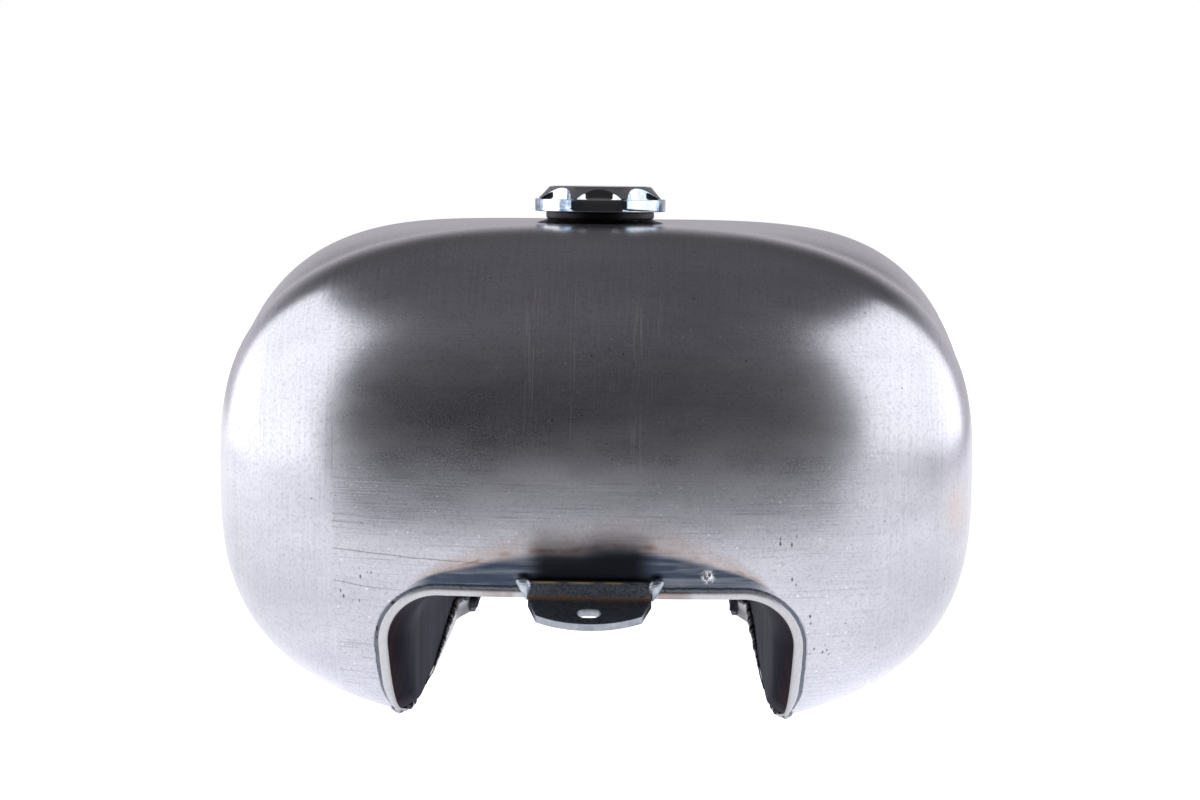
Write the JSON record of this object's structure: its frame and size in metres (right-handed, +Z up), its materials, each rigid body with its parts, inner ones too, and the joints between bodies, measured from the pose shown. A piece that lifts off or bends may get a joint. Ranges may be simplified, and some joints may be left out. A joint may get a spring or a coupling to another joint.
{
  "type": "motorcycle fuel tank",
  "caption": "Raw steel fuel tank with a rounded nose, knee recesses, a frame tunnel between its lobes, end brackets and a scalloped screw cap.",
  "frame": {"origin": "on the base plane that the two lobes stand on, under the centre of the bounding box", "axes": "the tank's front faces -Y, its rear +Y, +X is the side on the right when looking at the front, +Z is up"},
  "size_m": [0.309, 0.5526, 0.2155],
  "materials": {
    "raw_steel": "bare pressed sheet, sanded, with heat tint and light rust specks",
    "planished_weld": "weld hammered and ground flush",
    "mill_steel": "dark rolled sheet with streaks",
    "weld_bead": "blue-grey rippled weld",
    "bracket_steel": "dark hot-rolled plate with bright cut edges",
    "neck_steel": "turned steel",
    "black_rubber": "moulded fuel-proof rubber",
    "polished_chrome": "polished chrome with knurled lands",
    "valve_steel": "bright drawn steel"
  },
  "bodies": {
    "tank": {"shell_left": "raw_steel", "shell_right": "raw_steel", "centre_weld": "planished_weld", "tunnel_front": "mill_steel", "tunnel_rear": "mill_steel", "tunnel_joint_weld": "weld_bead", "front_mouth_weld": "weld_bead", "rear_mouth_weld": "weld_bead", "seam_weld_left": "weld_bead", "seam_weld_right": "weld_bead", "front_bracket": "bracket_steel", "front_bracket_welds": "weld_bead", "rear_bracket": "bracket_steel", "rear_bracket_welds": "weld_bead", "filler_neck": "neck_steel", "filler_weld": "weld_bead", "outlet_boss_left": "neck_steel", "outlet_boss_right": "neck_steel", "outlet_weld_left": "weld_bead", "outlet_weld_right": "weld_bead"},
    "gasket": {"cap_gasket": "black_rubber"},
    "cap": {"cap_body": "polished_chrome", "vent_retainer": "valve_steel", "vent_spring": "valve_steel"},
    "vent": {"vent_ball": "valve_steel"}
  },
  "joints": [
    {"name": "cap_lift", "type": "slide", "parent": "tank", "child": "gasket", "axis": [0, 0, 1], "range_m": [0, 0.0091]},
    {"name": "cap_turn", "type": "hinge", "parent": "gasket", "child": "cap", "pos_m": [0, -0.138, 0.205], "axis": [0, 0, 1], "range_deg": [0, 810]},
    {"name": "vent_open", "type": "slide", "parent": "cap", "child": "vent", "axis": [0, 0, -1], "range_m": [0, 0.0015], "stiffness_N_per_m": 40, "springref_m": -0.002, "deforming": ["vent_spring"]}
  ],
  "couplings": [
    {"joint": "cap_lift", "follows": "cap_turn", "m_per_rad": 0.00063662}
  ]
}
